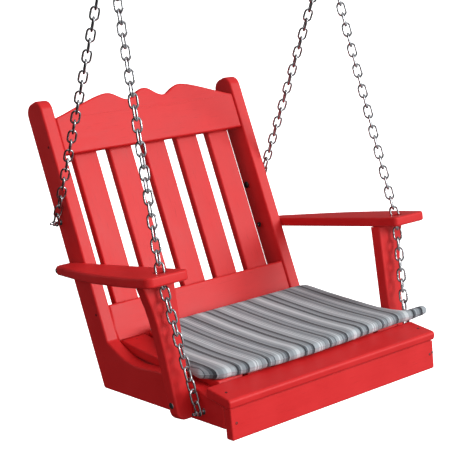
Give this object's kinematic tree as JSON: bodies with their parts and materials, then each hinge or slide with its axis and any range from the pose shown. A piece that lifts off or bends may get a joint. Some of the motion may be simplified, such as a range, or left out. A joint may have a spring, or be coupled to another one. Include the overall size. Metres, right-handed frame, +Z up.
{
  "type": "porch swing seat",
  "caption": "Single porch swing with slatted back and seat, wide arms, loose seat cushion, hung on two chain pairs from ceiling brackets.",
  "frame": {"origin": "in the ceiling plane, midway between the two ceiling brackets and straight above their hinge pins", "axes": "+Z up, +Y towards the back of the seat, +X to the right seen from the front; metres"},
  "size_m": [0.9286, 0.8795, 1.2435],
  "materials": {
    "red_lumber": "satin",
    "zinc_steel": "satin",
    "cushion_fabric": "matte"
  },
  "bodies": {
    "ceiling_mounts": {"ceiling_bracket_left": "zinc_steel", "ceiling_bracket_right": "zinc_steel", "hinge_pin_left": "zinc_steel", "hinge_pin_right": "zinc_steel"},
    "swing": {"side_frame_left": "red_lumber", "side_frame_right": "red_lumber", "crest_rail": "red_lumber", "lower_back_rail": "red_lumber", "back_slat_1": "red_lumber", "back_slat_2": "red_lumber", "back_slat_3": "red_lumber", "back_slat_4": "red_lumber", "back_slat_5": "red_lumber", "seat_slat_1": "red_lumber", "seat_slat_2": "red_lumber", "seat_slat_3": "red_lumber", "seat_slat_4": "red_lumber", "seat_slat_5": "red_lumber", "seat_slat_6": "red_lumber", "seat_slat_7": "red_lumber", "front_seat_support": "red_lumber", "middle_seat_support": "red_lumber", "rear_seat_support": "red_lumber", "seat_nosing": "red_lumber", "front_apron": "red_lumber", "armrest_left": "red_lumber", "arm_post_left": "red_lumber", "armrest_right": "red_lumber", "arm_post_right": "red_lumber", "rear_chain_bolt_left": "zinc_steel", "rear_chain_nut_left": "zinc_steel", "front_chain_bolt_left": "zinc_steel", "front_chain_nut_left": "zinc_steel", "arm_bolt_left": "zinc_steel", "arm_nut_left": "zinc_steel", "foot_bolt_left": "zinc_steel", "foot_nut_left": "zinc_steel", "rear_chain_bolt_right": "zinc_steel", "rear_chain_nut_right": "zinc_steel", "front_chain_bolt_right": "zinc_steel", "front_chain_nut_right": "zinc_steel", "arm_bolt_right": "zinc_steel", "arm_nut_right": "zinc_steel", "foot_bolt_right": "zinc_steel", "foot_nut_right": "zinc_steel", "rear_chain_left": "zinc_steel", "front_chain_left": "zinc_steel", "shackle_left": "zinc_steel", "chain_ring_left": "zinc_steel", "rear_chain_right": "zinc_steel", "front_chain_right": "zinc_steel", "shackle_right": "zinc_steel", "chain_ring_right": "zinc_steel"},
    "cushion": {"seat_cushion": "cushion_fabric"}
  },
  "joints": [
    {"name": "swing_hinge", "type": "hinge", "parent": "ceiling_mounts", "child": "swing", "pos_m": [0, 0, -0.026], "axis": [1, 0, 0], "range_deg": [-25, 25]},
    {"name": "cushion_lift", "type": "slide", "parent": "swing", "child": "cushion", "axis": [0, 0.1253, 0.9921], "range_m": [0, 0.15]}
  ]
}
